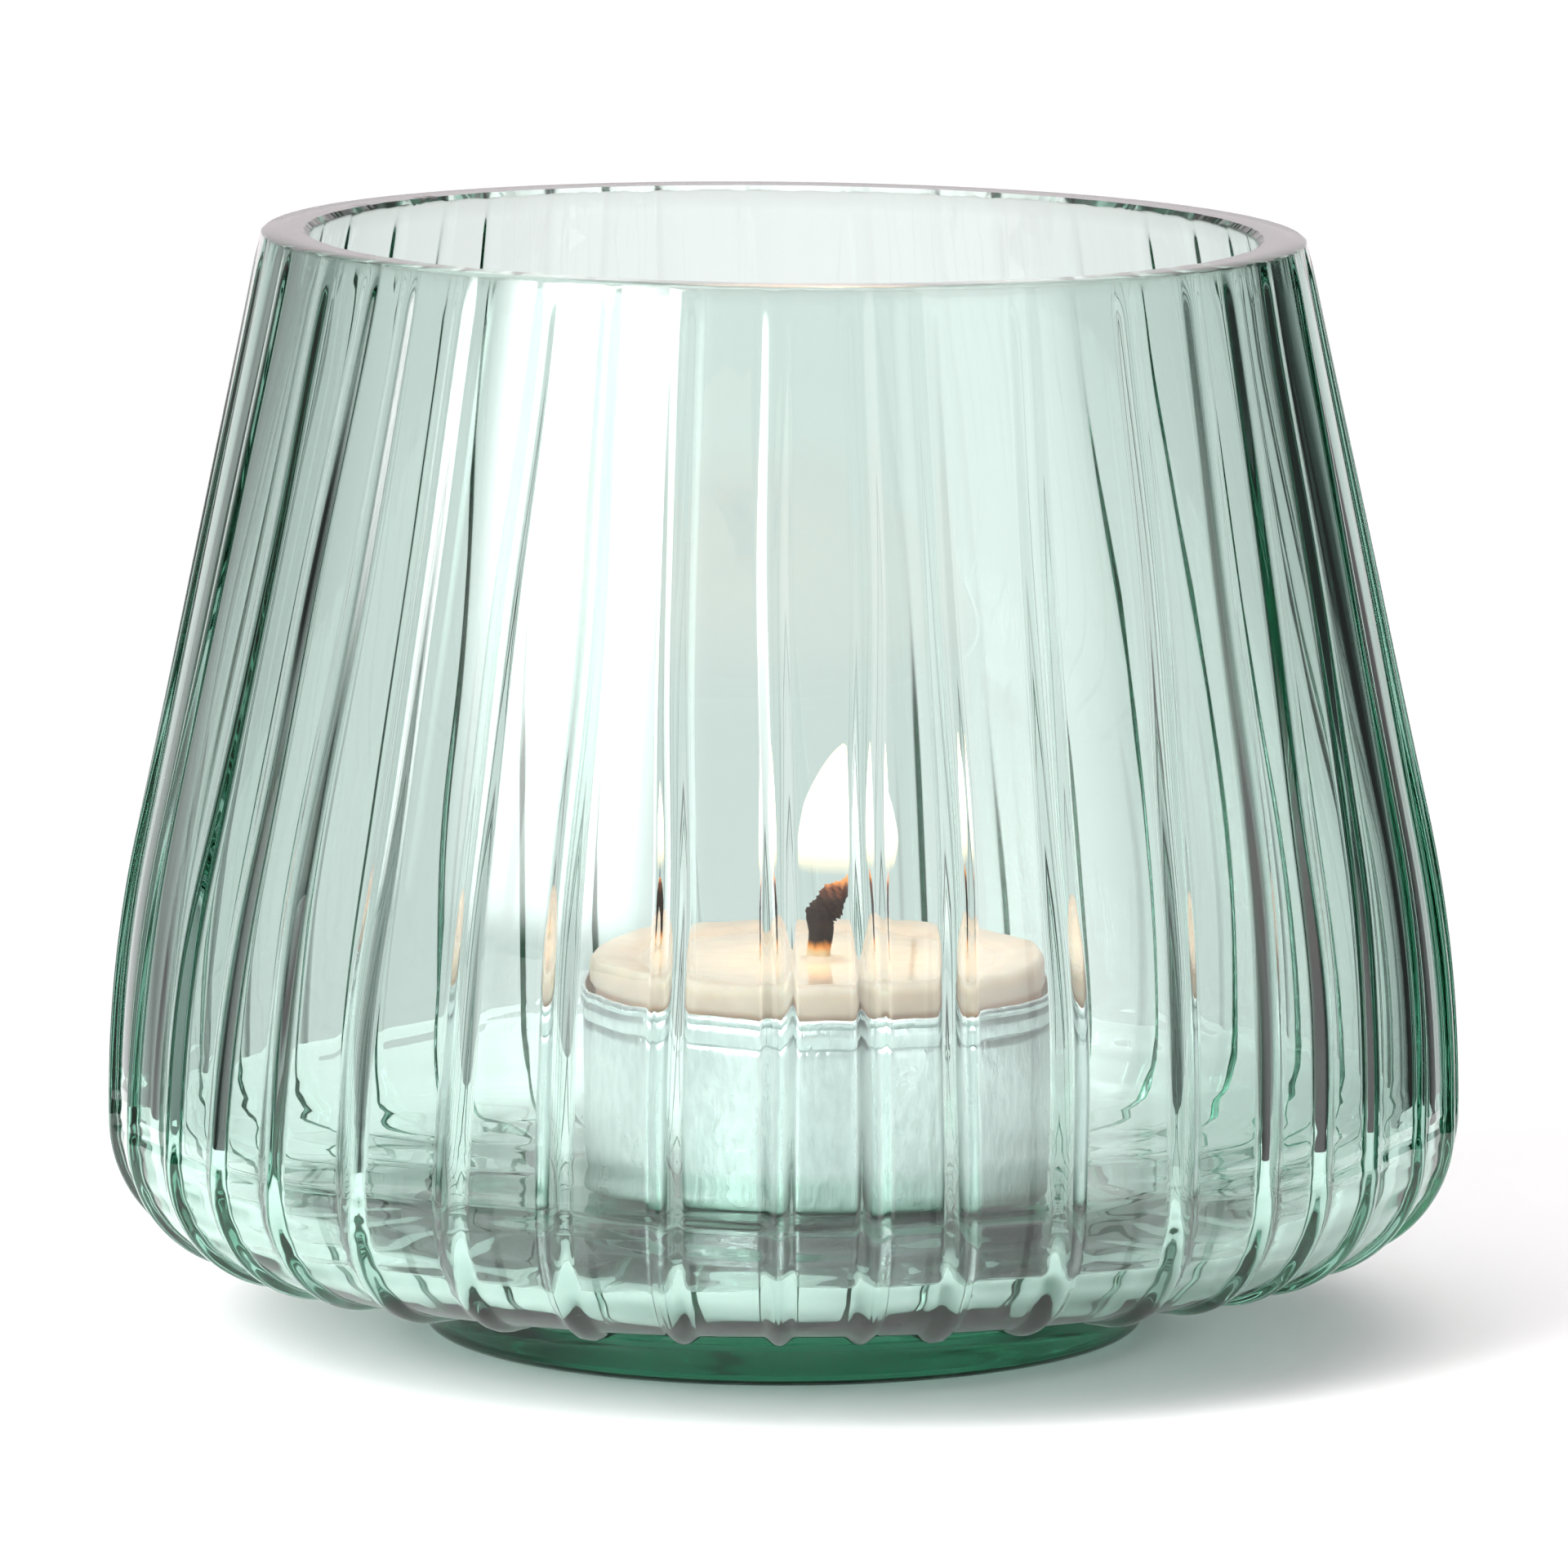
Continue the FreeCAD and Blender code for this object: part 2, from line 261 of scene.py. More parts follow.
def glass_rows():
    """All rows of the holder's surface, from the foot's centre up the outside and down the inside."""
    index, share, place = rib_columns()
    columns = len(index)
    crest_r, crest_z = outside_outline(0.0, RIM_CREST, PANEL_DEPTH)
    panel_r, panel_z = outside_outline(PANEL_DEPTH, RIM_PANEL, 0.0)
    under = slice(-UNDER_ROWS, None)
    under_start = panel_r[-UNDER_ROWS]
    drop = panel_z[-UNDER_ROWS] - crest_z[-UNDER_ROWS]
    crest_z[under] = panel_z[under] - drop * smooth_step(RIB_FADE_RADIUS, under_start, panel_r[under])
    crest_r[under] = panel_r[under]
    row_count = len(crest_r)

    # ribs differ a little in height, and soften just below the rim
    own_height = 1.0 + 0.12 * np.sin(np.round(index + share) * 3.7)
    soften = 0.3 + 0.7 * smooth_step(0.3, 2.6, HEIGHT - panel_z)
    soften = soften * (1.0 - 0.35 * smooth_step(24.0, 55.0, panel_z))
    rise = rib_section(place)[None, :] * own_height[None, :] * soften[:, None]
    rise = np.minimum(rise, 1.0)
    radii = panel_r[:, None] + (crest_r - panel_r)[:, None] * rise
    heights = panel_z[:, None] + (crest_z - panel_z)[:, None] * rise
    angles = column_angles(index[None, :], share[None, :], heights)

    # the ground bevel cuts the top of every column at its own height
    out, down = RIM_BEVEL
    lean = math.tan(math.radians(cone_angle(WIDEST_CREST, RIM_CREST, BELLY_ARC)))
    cut = (radii[0] - RIM_FLAT_RADIUS) / (out - down * lean)
    cut_z = HEIGHT - down * cut
    low_z = heights[CONE_ROWS - 1]
    part = np.linspace(0.0, 1.0, CONE_ROWS)[:, None] ** 1.4
    new_z = cut_z[None, :] + (low_z - cut_z)[None, :] * part
    for column in range(columns):
        order = np.argsort(heights[:CONE_ROWS, column])
        known_z = heights[:CONE_ROWS, column][order]
        known_r = radii[:CONE_ROWS, column][order]
        radii[:CONE_ROWS, column] = np.interp(new_z[:, column], known_z, known_r)
    heights[:CONE_ROWS] = new_z
    angles[:CONE_ROWS] = column_angles(index[None, :], share[None, :], new_z)

    # gentle unevenness of the outside, and fine flow lines low on the panels
    way_down = np.arange(row_count)[:, None] / row_count
    body = smooth_step(0.0, 0.1, way_down) * (1.0 - smooth_step(0.9, 1.0, way_down))
    uneven = waves(angles, heights, OUTSIDE_WAVES)
    radii = radii - (0.05 + uneven * 0.5) * body
    flow = flow_lines(angles, heights) * (1.0 - rib_section(place))[None, :] * body
    normal_r, normal_z = outline_normals(panel_r, panel_z)
    radii = radii + flow * normal_r[:, None]
    heights = heights + flow * normal_z[:, None]

    # reversed: from the neck up to the rim
    outside = turned_rows(radii[::-1], heights[::-1], angles[::-1])

    neck_angles = angles[-1]
    waist_z = (FOOT_ROUND + NECK_Z) / 2.0
    foot = joined(
        line_points((0.6, 0.0), (FOOT_EDGE - FOOT_ROUND, 0.0), 9),
        arc_points((FOOT_EDGE - FOOT_ROUND, FOOT_ROUND), FOOT_ROUND, -90.0, 0.0, 7),
        line_points((FOOT_EDGE, FOOT_ROUND), (FOOT_WAIST, waist_z), 6),
        line_points((FOOT_WAIST, waist_z), (FOOT_NECK - 0.25, NECK_Z - 0.5), 6),
    )
    foot_part = turned_rows(foot[0][:, None], foot[1][:, None], neck_angles[None, :])

    rim_r = np.array([RIM_FLAT_RADIUS - 0.02, (RIM_FLAT_RADIUS + RIM_INSIDE) / 2.0, RIM_INSIDE + 0.3])
    rim_angles = angles[0]
    chips = rim_chips(rim_angles)
    rim_radii = np.repeat(rim_r[:, None], columns, 1)
    rim_radii[0] -= chips[0]
    rim_radii[2] += chips[1]
    rim_part = turned_rows(rim_radii, HEIGHT, rim_angles[None, :])

    # inside: bevel, wall, belly, floor
    inside_r, inside_z = side_outline(WALL, RIM_INSIDE, 24, 20)
    corner_radius = BELLY_Z - FLOOR_Z
    corner = arc_points((inside_r[-1] - corner_radius, BELLY_Z), corner_radius, 0.0, -90.0, 26)
    floor_part = line_points((corner[0][-1], FLOOR_Z), (0.8, FLOOR_Z), 32)
    inside_r, inside_z = joined((inside_r, inside_z), corner, floor_part)
    inside_r, inside_z = inside_r[:, None], inside_z[:, None]
    inside_angles = column_angles(index[None, :], share[None, :], np.repeat(inside_z, columns, 1))
    inside_heights = np.repeat(inside_z, columns, 1)
    inside_heights[0] = HEIGHT - 0.25 - chips[2]
    near_rim = smooth_step(HEIGHT - 9.0, HEIGHT, inside_z)
    wall_share = smooth_step(FLOOR_Z - 0.5, FLOOR_Z + 6.0, inside_z) * (1.0 - near_rim)
    wavy = waves(inside_angles, inside_z, INSIDE_WAVES)
    inside_flow = flow_lines(inside_angles + 77.0, inside_z + 1.0)
    inside_radii = inside_r + (wavy - 0.05) * wall_share + inside_flow * 0.9
    swirl = waves(inside_angles, inside_r, FLOOR_SWIRL)
    on_floor = 1.0 - smooth_step(FLOOR_Z, FLOOR_Z + 4.0, inside_z)
    past_cup = smooth_step(21.5, 24.5, inside_r)
    inside_heights = inside_heights + (swirl - FLOOR_SWIRL_DROP) * on_floor * past_cup
    inside_part = turned_rows(inside_radii, inside_heights, inside_angles)

    rows = np.concatenate([foot_part, outside, rim_part, inside_part])
    tilt = smooth_step(HEIGHT - 30.0, HEIGHT, rows[..., 2])
    rows[..., 2] -= (rows[..., 0] + RIM_FLAT_RADIUS) * RIM_TILT * tilt
    return rows, len(foot_part) + len(outside)


def flow_lines(angles, heights):
    """Fine near-level ripples where the glass chilled against the mould."""
    band = smooth_step(6.0, 9.0, heights) * (1.0 - smooth_step(17.0, 27.0, heights))
    wander = 2.2 * np.sin(np.radians(angles * 3.0) + 0.7) + 1.3 * np.sin(np.radians(angles * 8.0) + 2.0)
    patch = 0.6 + 0.4 * np.sin(np.radians(angles * 5.0) + heights * 0.5)
    return 0.045 * band * patch * np.sin(heights * 2.9 + wander + 0.8 * np.sin(heights * 1.1))


def rim_chips(angles):
    """Small irregularities of the ground edges: outer and inner radius, and depth of the inner bevel."""
    fine = np.abs(waves(angles, 0.0, FINE_CHIPS))
    broad = np.abs(waves(angles, 0.0, BROAD_CHIPS))
    return fine * 0.5, fine + broad * 0.6, fine * 1.2 + broad * 0.5


def outline_normals(radii, heights):
    """Unit vectors pointing out of an outline that runs down the outside."""
    along_r = np.gradient(radii)
    along_z = np.gradient(heights)
    length = np.hypot(along_r, along_z)
    return -along_z / length, along_r / length


def build_glass():
    rows, rim_row = glass_rows()
    glass = make_lathe("glass_bowl", rows, (0.0, 0.0, 0.0), (0.0, 0.0, FLOOR_Z))
    mesh = glass.data
    ground = mesh.attributes.new("ground", "FLOAT", "POINT")
    columns = rows.shape[1]
    values = np.zeros(len(mesh.vertices), np.float32)
    # the last row outside, the three rows of the rim and the first row inside
    values[(rim_row - 1) * columns:(rim_row + 4) * columns] = 1.0
    ground.data.foreach_set("value", values)
    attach(glass, "holder")
    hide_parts("glass_holder")
    return glass


# ---------------------------------------------------------------- tealight

CUP_CRINKLE = ((0.008, 61, 9.0, 0.3), (0.006, 43, -23.0, 1.2), (0.008, 97, 31.0, 2.2), (0.03, 11, 4.0, 0.9))
CUP_RIM_WAVES = ((0.05, 9, 0.0, 0.4), (0.035, 17, 0.0, 1.7), (0.02, 37, 0.0, 0.1))
CUP_CRIMP = ((0.05, 53, 0.0, 0.2), (0.04, 89, 0.0, 1.3))
WAX_BUMPS = ((0.07, 5, 0.0, 0.3), (0.05, 9, 0.0, 2.0), (0.035, 17, 0.0, 1.0), (0.02, 31, 0.0, 0.0))
POOL_EDGE_WAVES = ((0.25, 4, 0.0, 0.9), (0.15, 7, 0.0, 2.0), (0.1, 13, 0.0, 0.2))
POOL_DROP = 0.7             # from the top of the wax down to the melted pool


def build_cup():
    """Thin pressed cup: drawn side with fine crinkles, a rolled band and a crimp line under it."""
    angles = even_angles(320)
    wall = 0.3
    base = CUP_RADIUS - 0.95
    top = CUP_RADIUS - 0.42
    band_low = CUP_HEIGHT - 2.3
    lip = 0.34
    outer = joined(
        line_points((0.5, 0.0), (base - 1.2, 0.0), 8),
        arc_points((base - 1.2, 1.2), 1.2, -90.0, 0.0, 7),
        line_points((base, 1.2), (top, band_low - 0.5), 34),
        line_points((top, band_low - 0.5), (top - 0.12, band_low - 0.15), 3),
        line_points((top - 0.12, band_low - 0.15), (CUP_RADIUS - 0.12, band_low + 0.12), 4),
        line_points((CUP_RADIUS - 0.12, band_low + 0.12), (CUP_RADIUS - 0.05, CUP_HEIGHT - 1.1), 6),
        line_points((CUP_RADIUS - 0.05, CUP_HEIGHT - 1.1), (CUP_RADIUS - 0.2, CUP_HEIGHT - 0.75), 3),
        line_points((CUP_RADIUS - 0.2, CUP_HEIGHT - 0.75), (CUP_RADIUS - 0.05, CUP_HEIGHT - lip), 3),
        arc_points((CUP_RADIUS - lip - 0.05, CUP_HEIGHT - lip), lip, 0.0, 180.0, 11),
    )
    inner_top = CUP_RADIUS - 0.05 - 2.0 * lip
    inner = joined(
        line_points((inner_top, CUP_HEIGHT - lip), (base - wall, 1.2), 20),
        arc_points((base - 1.2, 1.2), 1.2 - wall, 0.0, -90.0, 6),
        line_points((base - 1.2, wall), (0.5, wall), 6),
    )
    radii, heights = joined(outer, inner)
    radii = np.repeat(radii[:, None], len(angles), 1)
    heights = np.repeat(heights[:, None], len(angles), 1)
    near_band = smooth_step(CUP_HEIGHT - 3.0, CUP_HEIGHT - 2.4, heights)
    side = smooth_step(0.3, 2.0, heights) * (1.0 - near_band)
    crinkle = waves(angles, heights, CUP_CRINKLE)
    radii = radii + (crinkle - 0.03) * side
    rim_wave = waves(angles, 0.0, CUP_RIM_WAVES)
    mouth = smooth_step(CUP_HEIGHT - 4.0, CUP_HEIGHT - 1.5, heights)
    heights = heights + (rim_wave - 0.1) * mouth
    crimp = np.abs(waves(angles, 0.0, CUP_CRIMP))
    radii = radii - crimp * smooth_step(0.6, 0.0, np.abs(heights - band_low))
    rows = turned_rows(radii, heights + FLOOR_Z, angles[None, :], TEALIGHT_X)
    centre = (TEALIGHT_X, 0.0)
    cup = make_lathe("aluminium_cup", rows, (*centre, FLOOR_Z), (*centre, FLOOR_Z + wall))
    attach(cup, "tealight")
    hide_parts("tealight_cup")
    return cup


def build_wax():
    """Paraffin with a soft rounded shoulder and a melted pool, lower in the middle."""
    angles = even_angles(220)
    base = WAX_RADIUS - 1.3
    wall = WAX_RADIUS - 0.45
    proud = WAX_RADIUS - 0.4
    shoulder = 0.8
    pool = WAX_TOP - POOL_DROP
    outline = joined(
        line_points((0.5, 0.32), (base - 1.0, 0.32), 6),
        arc_points((base - 1.0, 1.32), 1.0, -90.0, 0.0, 5),
        line_points((base, 1.32), (wall - 0.35, CUP_HEIGHT - 0.6), 12),
        line_points((wall - 0.35, CUP_HEIGHT - 0.6), (proud, CUP_HEIGHT + 0.1), 4),
        line_points((proud, CUP_HEIGHT + 0.1), (proud, WAX_TOP - shoulder), 6),
        arc_points((proud - shoulder, WAX_TOP - shoulder), shoulder, 0.0, 90.0, 9),
        line_points((proud - shoulder, WAX_TOP), (15.0, WAX_TOP - 0.15), 4),
        line_points((15.0, WAX_TOP - 0.15), (13.9, pool + 0.12), 8),
        line_points((13.9, pool + 0.12), (13.2, pool), 4),
        line_points((13.2, pool), (1.6, pool), 10),
        line_points((1.6, pool), (1.0, pool + 0.35), 4),
    )
    radii = np.repeat(outline[0][:, None], len(angles), 1)
    heights = np.repeat(outline[1][:, None], len(angles), 1)
    top = smooth_step(WAX_TOP - 2.6, WAX_TOP - 1.2, heights) * smooth_step(13.0, 14.5, radii)
    bumps = waves(angles, radii, WAX_BUMPS)
    heights = heights + (bumps - 0.18) * top
    bank = smooth_step(1.6, 0.0, np.abs(radii - 14.2)) * smooth_step(pool - 0.2, pool + 0.3, heights)
    radii = radii + waves(angles, 0.0, POOL_EDGE_WAVES) * bank
    rows = turned_rows(radii, heights + FLOOR_Z, angles[None, :], TEALIGHT_X)
    centre = (TEALIGHT_X, 0.0)
    wax = make_lathe("wax", rows, (*centre, FLOOR_Z + 0.32), (*centre, FLOOR_Z + pool + 0.35), 60.0)
    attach(wax, "candle")
    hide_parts("wax_body")
    return wax


POOL_Z = FLOOR_Z + WAX_TOP - POOL_DROP
WICK_BEND_Z = FLOOR_Z + WAX_TOP + 2.0
WICK_TIP = (TEALIGHT_X + 3.1, FLOOR_Z + WAX_TOP + 5.7)     # x and z


def wick_centre(share):
    """Centre of the wick at a share of its way from its foot to its tip: x and z."""
    straight = 0.7
    start_z = FLOOR_Z + 0.7
    low = np.clip(share / straight, 0.0, 1.0)
    high = np.clip((share - straight) / (1.0 - straight), 0.0, 1.0)
    x = TEALIGHT_X + (WICK_TIP[0] - TEALIGHT_X) * high ** 1.7
    z = start_z + (WICK_BEND_Z - start_z) * low + (WICK_TIP[1] - WICK_BEND_Z) * high
    return x, z


def build_wick():
    """Braided wick: twisted strands, swollen where it burns and thinning to its glowing tip."""
    columns, rows = 40, 120
    share = np.linspace(0.0, 1.0, rows)[:, None]
    turn = (np.arange(columns) * 2.0 * math.pi / columns)[None, :]
    x, z = wick_centre(share)
    step = 0.002
    x_next, z_next = wick_centre(np.minimum(share + step, 1.0))
    x_last, z_last = wick_centre(np.maximum(share - step, 0.0))
    along_x, along_z = x_next - x_last, z_next - z_last
    length = np.hypot(along_x, along_z)
    side_x, side_z = along_z / length, -along_x / length
    strands = 0.09 * np.cos(3.0 * turn + share * 46.0) + 0.05 * np.cos(3.0 * turn - share * 46.0)
    charred = smooth_step(0.70, 0.76, share)
    flakes = 0.10 * np.sin(share * 190.0 + 3.0 * turn) + 0.08 * np.sin(share * 310.0 - 5.0 * turn)
    rough = charred * flakes
    swell = 0.95 + 0.22 * smooth_step(0.66, 0.76, share) - 0.66 * smooth_step(0.84, 1.0, share)
    radius = swell * (1.0 + strands + rough)
    points = np.stack([x + radius * np.cos(turn) * side_x, radius * 0.9 * np.sin(turn) + 0.0 * x,
                       z + radius * np.cos(turn) * side_z], -1)
    low = (TEALIGHT_X, 0.0, FLOOR_Z + 0.65)
    tip = (WICK_TIP[0] + 0.15, 0.0, WICK_TIP[1] + 0.25)
    piece = make_lathe("braided_wick", points, low, tip, 70.0)
    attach(piece, "candle")
    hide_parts("wick")
    return piece


FLAME_LOW = FLOOR_Z + WAX_TOP + 3.3
FLAME_HIGH = FLOOR_Z + WAX_TOP + 16.2


def build_flame():
    """Teardrop of flame round the wick's tip, leaning a little to the right."""
    rows, columns = 48, 40
    share = np.linspace(0.02, 0.98, rows)[:, None]
    turn = np.radians(even_angles(columns))[None, :]
    centre_x = TEALIGHT_X + 1.2 + 1.1 * share + 0.4 * np.sin(share * 4.0)
    profile = np.sin(np.pi * share ** 0.72) ** 0.7 * (1.0 - 0.12 * share)
    radius = 4.3 * profile
    height = FLAME_LOW + (FLAME_HIGH - FLAME_LOW) * share
    points = np.stack([centre_x + radius * np.sin(turn), -radius * 0.85 * np.cos(turn),
                       height + 0.0 * turn], -1)
    low = (TEALIGHT_X + 1.5, 0.0, FLAME_LOW)
    tip = (float(centre_x[-1, 0]), 0.0, FLAME_HIGH)
    flame = make_lathe("flame", points, low, tip, 80.0)
    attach(flame, "candle")
    return flame


# ---------------------------------------------------------------- materials

GLASS_COLOUR = (0.26, 0.62, 0.50, 1.0)
GLASS_DENSITY = 100.0
# Painted reflection: the cup's metal is painted darker and greener towards its foot, standing in for the
# green glass floor reflected in it, over this many millimetres
PAINTED_REFLECTION_HEIGHT = 5.0
CUP_PAINTED_REFLECTION = ((0.0, (0.12, 0.24, 0.18)), (0.28, (0.34, 0.50, 0.43)), (0.6, (0.74, 0.84, 0.80)),
              (1.0, (1.0, 1.0, 1.0)))
WAX_COLOURS = ((0.35, (0.68, 0.525, 0.46)), (0.65, (0.75, 0.585, 0.51)))
# Painted glow of the wax, standing in for the flame's light: from the foot of the flame outwards over this
# many metres
PAINTED_GLOW_REACH = 0.024
WAX_PAINTED_GLOW = ((0.0, (1.0, 0.62, 0.34)), (0.35, (0.9, 0.60, 0.38)), (0.8, (0.30, 0.22, 0.16)),
            (1.0, (0.08, 0.06, 0.05)))
# From the pool to the wick's tip: waxed, scorched, charred
WICK_COLOURS = ((0.0, (0.85, 0.66, 0.48)), (0.12, (0.78, 0.50, 0.27)), (0.18, (0.45, 0.16, 0.03)),
                (0.25, (0.014, 0.005, 0.003)), (0.75, (0.03, 0.01, 0.006)), (1.0, (0.16, 0.04, 0.02)))
WICK_EMBERS = ((0.1, (0.0, 0.0, 0.0)), (0.17, (0.5, 0.14, 0.02)), (0.23, (0.0, 0.0, 0.0)),
               (0.9, (0.0, 0.0, 0.0)), (0.97, (1.0, 0.42, 0.12)))
FLAME_COLOURS = ((0.22, (1.0, 0.72, 0.42)), (0.4, (1.0, 0.84, 0.62)), (0.7, (1.0, 0.93, 0.80)),
                 (1.0, (1.0, 0.80, 0.5)))
TIN_COLOURS = ((0.3, (0.52, 0.52, 0.53)), (0.7, (0.68, 0.68, 0.69)))


def new_material(name):
    material = bpy.data.materials.new(name)
    material.use_nodes = True
    return material, material.node_tree, material.node_tree.nodes["Principled BSDF"]


def add(tree, kind, values=(), **settings):
    """A node with its settings and the given input values."""
    node = tree.nodes.new(kind)
    for key, value in settings.items():
        setattr(node, key, value)
    for key, value in dict(values).items():
        node.inputs[key].default_value = value
    return node


def link(tree, output, target):
    tree.links.new(output, target)


def object_point(tree):
    return add(tree, "ShaderNodeTexCoord").outputs["Object"]


def ramp(tree, source, stops):
    """Colour ramp over (position, colour) stops."""
    node = add(tree, "ShaderNodeValToRGB")
    elements = node.color_ramp.elements
    while len(elements) < len(stops):
        elements.new(0.5)
    for element, (position, colour) in zip(elements, stops):
        element.position = position
        element.color = (*colour, 1.0)
    link(tree, source, node.inputs["Fac"])
    return node.outputs["Color"]


def fit_range(tree, source, low, high, to_low=0.0, to_high=1.0):
    limits = {"From Min": low, "From Max": high, "To Min": to_low, "To Max": to_high}
    node = add(tree, "ShaderNodeMapRange", limits)
    link(tree, source, node.inputs["Value"])
    return node.outputs["Result"]


def noise(tree, point, scale, detail=3.0, stretch=(1.0, 1.0, 1.0)):
    mapping = add(tree, "ShaderNodeMapping", {"Scale": stretch})
    texture = add(tree, "ShaderNodeTexNoise", {"Scale": scale, "Detail": detail})
    link(tree, point, mapping.inputs["Vector"])
    link(tree, mapping.outputs["Vector"], texture.inputs["Vector"])
    return texture.outputs["Fac"]


def bump(tree, shader, height, strength, distance):
    node = add(tree, "ShaderNodeBump", {"Strength": strength, "Distance": distance})
    link(tree, height, node.inputs["Height"])
    link(tree, node.outputs["Normal"], shader.inputs["Normal"])


def glass_material():
    """Clear green glass, tinted by its thickness; the ground rim is satin."""
    material, tree, shader = new_material("green_glass")
    shader.inputs["IOR"].default_value = 1.5
    shader.inputs["Transmission Weight"].default_value = 1.0
    mask = add(tree, "ShaderNodeAttribute", attribute_name="ground").outputs["Fac"]
    grain = noise(tree, object_point(tree), 9000.0, 2.0)
    satin = fit_range(tree, grain, 0.3, 0.7, 0.12, 0.25)
    blend = add(tree, "ShaderNodeMath", operation="MULTIPLY")
    link(tree, mask, blend.inputs[0])
    link(tree, satin, blend.inputs[1])
    link(tree, blend.outputs[0], shader.inputs["Roughness"])
    tint = ramp(tree, mask, ((0.0, (1.0, 1.0, 1.0)), (1.0, (0.80, 0.79, 0.78))))
    link(tree, tint, shader.inputs["Base Color"])
    tint_volume = add(tree, "ShaderNodeVolumeAbsorption", {"Color": GLASS_COLOUR, "Density": GLASS_DENSITY})
    link(tree, tint_volume.outputs["Volume"], tree.nodes["Material Output"].inputs["Volume"])
    return material


def cup_material():
    """Thin drawn aluminium: fine crinkles, with some stretches smoother than others, and a painted
    reflection of the green glass that darkens it towards its foot.
    """
    material, tree, shader = new_material("drawn_aluminium")
    point = object_point(tree)
    shader.inputs["Metallic"].default_value = 0.75
    fine = noise(tree, point, 1500.0, 4.0, (1.0, 1.0, 0.45))
    broad = noise(tree, point, 160.0, 3.0)
    link(tree, fit_range(tree, broad, 0.3, 0.7, 0.24, 0.4), shader.inputs["Roughness"])
    bare = ramp(tree, fine, ((0.3, (0.80, 0.81, 0.82)), (0.7, (0.94, 0.95, 0.96))))
    # painted reflection: darker and greener towards the foot, standing in for the green glass floor
    # reflected in the metal
    height = along(tree, point, (0.0, 0.0, 1.0))
    rise = fit_range(tree, height, FLOOR_Z * MM, (FLOOR_Z + PAINTED_REFLECTION_HEIGHT) * MM)
    painted_reflection = ramp(tree, rise, CUP_PAINTED_REFLECTION)
    metal = add(tree, "ShaderNodeVectorMath", operation="MULTIPLY")
    link(tree, bare, metal.inputs[0])
    link(tree, painted_reflection, metal.inputs[1])
    link(tree, metal.outputs["Vector"], shader.inputs["Base Color"])
    bump(tree, shader, fine, 0.6, 0.0002)
    return material


def wax_material():
    """Warm white paraffin, lit by the candle light and with a painted glow round the foot of the flame,
    liquid and shiny in the pool.
    """
    material, tree, shader = new_material("paraffin")
    point = object_point(tree)
    offset = add(tree, "ShaderNodeVectorMath", operation="SUBTRACT")
    link(tree, point, offset.inputs[0])
    offset.inputs[1].default_value = (TEALIGHT_X * MM, 0.0, (FLOOR_Z + WAX_TOP + 3.0) * MM)
    away = add(tree, "ShaderNodeVectorMath", operation="LENGTH")
    link(tree, offset.outputs["Vector"], away.inputs[0])
    distance = away.outputs["Value"]
    # painted glow: emission that stands in for the flame's light on the wax, brightest near the flame
    glow = ramp(tree, fit_range(tree, distance, 0.0, PAINTED_GLOW_REACH), WAX_PAINTED_GLOW)
    link(tree, glow, shader.inputs["Emission Color"])
    shader.inputs["Emission Strength"].default_value = 0.26
    mottle = noise(tree, point, 420.0, 4.0)
    link(tree, ramp(tree, mottle, WAX_COLOURS), shader.inputs["Base Color"])
    link(tree, fit_range(tree, distance, 0.0125, 0.0155, 0.06, 0.42), shader.inputs["Roughness"])
    shader.inputs["Subsurface Weight"].default_value = 0.5
    shader.inputs["Subsurface Radius"].default_value = (0.004, 0.0025, 0.0015)
    shader.inputs["Subsurface Scale"].default_value = 1.0
    bump(tree, shader, mottle, 0.15, 0.0003)
    return material


def wick_material():
    """Waxed cotton at the bottom, scorched brown, charred black, and an ember at the tip."""
    material, tree, shader = new_material("burnt_wick")
    point = object_point(tree)
    split = add(tree, "ShaderNodeSeparateXYZ")
    link(tree, point, split.inputs["Vector"])
    fray = noise(tree, point, 1400.0, 3.0, (1.0, 1.0, 0.3))
    jitter = fit_range(tree, fray, 0.0, 1.0, -0.0006, 0.0006)
    level = add(tree, "ShaderNodeMath", operation="ADD")
    link(tree, split.outputs["Z"], level.inputs[0])
    link(tree, jitter, level.inputs[1])
    place = fit_range(tree, level.outputs[0], POOL_Z * MM, WICK_TIP[1] * MM)
    link(tree, ramp(tree, place, WICK_COLOURS), shader.inputs["Base Color"])
    link(tree, ramp(tree, place, WICK_EMBERS), shader.inputs["Emission Color"])
    shader.inputs["Emission Strength"].default_value = 0.8
    shader.inputs["Roughness"].default_value = 0.8
    bump(tree, shader, fray, 0.6, 0.0004)
    return material


def flame_material():
    """Bright, almost white flame with a warm edge, clear at its base."""
    material, tree, shader = new_material("flame_glow")
    tree.nodes.remove(shader)
    point = object_point(tree)
    split = add(tree, "ShaderNodeSeparateXYZ")
    link(tree, point, split.inputs["Vector"])
    place = fit_range(tree, split.outputs["Z"], FLAME_LOW * MM, FLAME_HIGH * MM)
    glow = add(tree, "ShaderNodeEmission", {"Strength": 2.6})
    warm = ramp(tree, place, FLAME_COLOURS)
    link(tree, warm, glow.inputs["Color"])
    clear = add(tree, "ShaderNodeBsdfTransparent")
    edge = add(tree, "ShaderNodeLayerWeight", {"Blend": 0.35})
    core = fit_range(tree, edge.outputs["Facing"], 0.95, 0.35)
    rise = fit_range(tree, place, 0.24, 0.44)
    amount = add(tree, "ShaderNodeMath", operation="MULTIPLY")
    link(tree, core, amount.inputs[0])
    link(tree, rise, amount.inputs[1])
    mix = add(tree, "ShaderNodeMixShader")
    link(tree, amount.outputs[0], mix.inputs[0])
    link(tree, clear.outputs[0], mix.inputs[1])
    link(tree, glow.outputs[0], mix.inputs[2])
    link(tree, mix.outputs[0], tree.nodes["Material Output"].inputs["Surface"])
    return material


